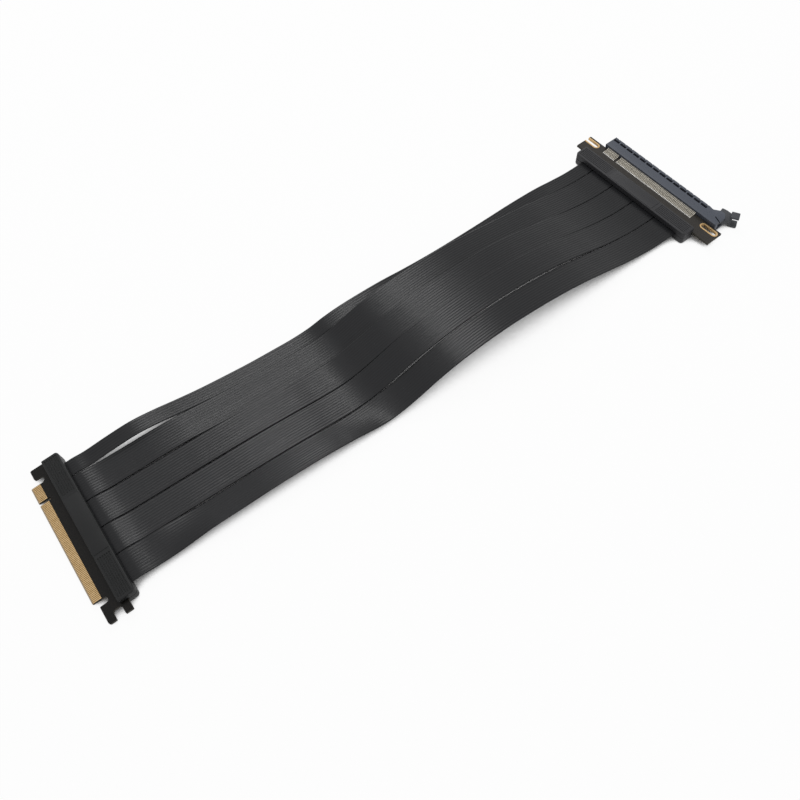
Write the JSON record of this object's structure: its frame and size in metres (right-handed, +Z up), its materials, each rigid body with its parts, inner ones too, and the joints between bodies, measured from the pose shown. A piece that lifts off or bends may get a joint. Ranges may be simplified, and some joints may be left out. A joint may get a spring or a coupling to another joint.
{
  "type": "gpu riser cable",
  "caption": "Flat riser cable for a graphics card: card-edge plug and x16 card slot in two-part black housings, joined by five flat ribbons lying side by side.",
  "frame": {"origin": "middle of the slot housing's underside, on the floor", "axes": "+X out of the slot's mouth along the card's travel, ribbons leave the slot housing towards -X; +Y along the slot, away from the latch; +Z up"},
  "size_m": [0.4888, 0.1368, 0.0262],
  "materials": {
    "housing_plastic": "fine moulded black plastic",
    "ribbon_jacket": "semi-gloss ribbed cable jacket",
    "board_laminate": "black solder mask with gold plated fingers and rings",
    "slot_plastic": "blue-grey moulded connector plastic with tinned legs",
    "latch_plastic": "grey moulded plastic",
    "hot_melt_glue": "cloudy hot-melt glue"
  },
  "bodies": {
    "riser": {"slot_upper_shell": "housing_plastic", "slot_lower_shell": "housing_plastic", "slot_board": "board_laminate", "slot_wire_glue": "hot_melt_glue", "slot_body": "slot_plastic", "plug_upper_shell": "housing_plastic", "plug_lower_shell": "housing_plastic", "plug_board": "board_laminate", "plug_wire_glue": "hot_melt_glue", "ribbon_1": "ribbon_jacket", "ribbon_2": "ribbon_jacket", "ribbon_3": "ribbon_jacket", "ribbon_4": "ribbon_jacket", "ribbon_5": "ribbon_jacket"},
    "latch": {"latch": "latch_plastic"}
  },
  "joints": [
    {"name": "latch_swing", "type": "hinge", "parent": "riser", "child": "latch", "pos_m": [0.025, -0.05365, 0.0048], "axis": [0, 0, -1], "range_deg": [0, 25]}
  ]
}
